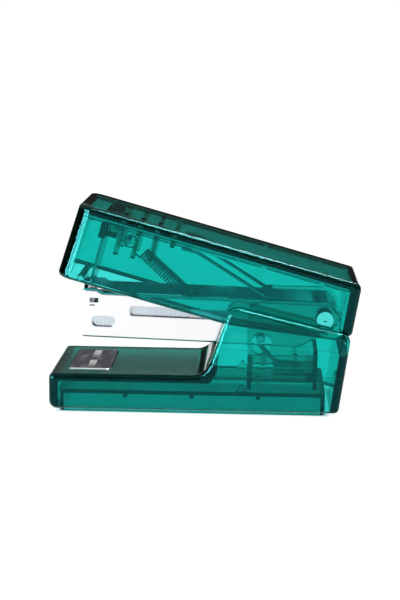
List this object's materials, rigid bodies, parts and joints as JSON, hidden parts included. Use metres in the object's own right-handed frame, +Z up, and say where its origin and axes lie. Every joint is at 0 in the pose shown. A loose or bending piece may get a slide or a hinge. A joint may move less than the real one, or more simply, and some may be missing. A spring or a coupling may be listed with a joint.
{
  "type": "mini stapler",
  "caption": "Small hand stapler in clear green plastic: hinged cover over a steel staple magazine, deck with anvil plate, and visible return and pusher springs.",
  "frame": {"origin": "on the surface the stapler stands on, under the middle of its bounding box at rest", "axes": "+X along the stapler from the staple mouth to the hinge, +Y across it, +Z up"},
  "size_m": [0.0642, 0.026, 0.0433],
  "materials": {
    "green_clear_base": "clear moulded polystyrene, tinted blue-green, polished",
    "green_clear_tray": "clear moulded polystyrene, tinted blue-green",
    "green_clear_frame": "clear moulded polystyrene, tinted blue-green",
    "green_clear_cover": "clear moulded polystyrene, tinted blue-green, polished",
    "bracket_clear": "clear moulded plastic, tinted blue-green",
    "axle_steel": "bright nickel plate, polished ends",
    "anvil_steel": "pressed, dark nickel plate",
    "magazine_steel": "bright nickel plate",
    "spring_steel": "tempered spring steel",
    "coil_steel": "drawn spring wire",
    "rivet_steel": "zinc plate",
    "staple_steel": "galvanised wire, glued stick",
    "pusher_steel": "zinc plate",
    "black_plastic": "moulded black plastic"
  },
  "bodies": {
    "base": {"base_housing": "green_clear_base", "bottom_tray": "green_clear_tray", "hinge_frame": "green_clear_frame", "anvil_plate": "anvil_steel", "lift_spring": "spring_steel", "hinge_axle": "axle_steel"},
    "magazine": {"magazine_channel": "magazine_steel", "nose_plate": "magazine_steel", "staple_rail": "magazine_steel", "rail_rivets": "rivet_steel", "stop_pins": "rivet_steel", "staple_strip": "staple_steel"},
    "pusher": {"pusher": "pusher_steel"},
    "cover": {"top_cover": "green_clear_cover", "driver_blade": "spring_steel", "blade_block": "black_plastic", "anchor_bracket": "bracket_clear", "strip_rivets": "rivet_steel", "return_spring": "spring_steel", "spring_anchor": "rivet_steel", "pusher_spring": "coil_steel"}
  },
  "joints": [
    {"name": "magazine_hinge", "type": "hinge", "parent": "base", "child": "magazine", "pos_m": [0.02485, 0, 0.0201], "axis": [0, 1, 0], "range_deg": [-7.2, 0], "stiffness_Nm_per_rad": 0.25, "springref_deg": 20.05, "deforming": ["lift_spring"]},
    {"name": "cover_hinge", "type": "hinge", "parent": "magazine", "child": "cover", "pos_m": [0.02485, 0, 0.0201], "axis": [0, 1, 0], "range_deg": [-7.8, 60], "stiffness_Nm_per_rad": 0.3, "deforming": ["return_spring", "pusher_spring"]},
    {"name": "pusher_slide", "type": "slide", "parent": "magazine", "child": "pusher", "axis": [0.9996, 0, -0.0297], "range_m": [0, 0.016], "stiffness_N_per_m": 40, "springref_m": -0.04}
  ]
}
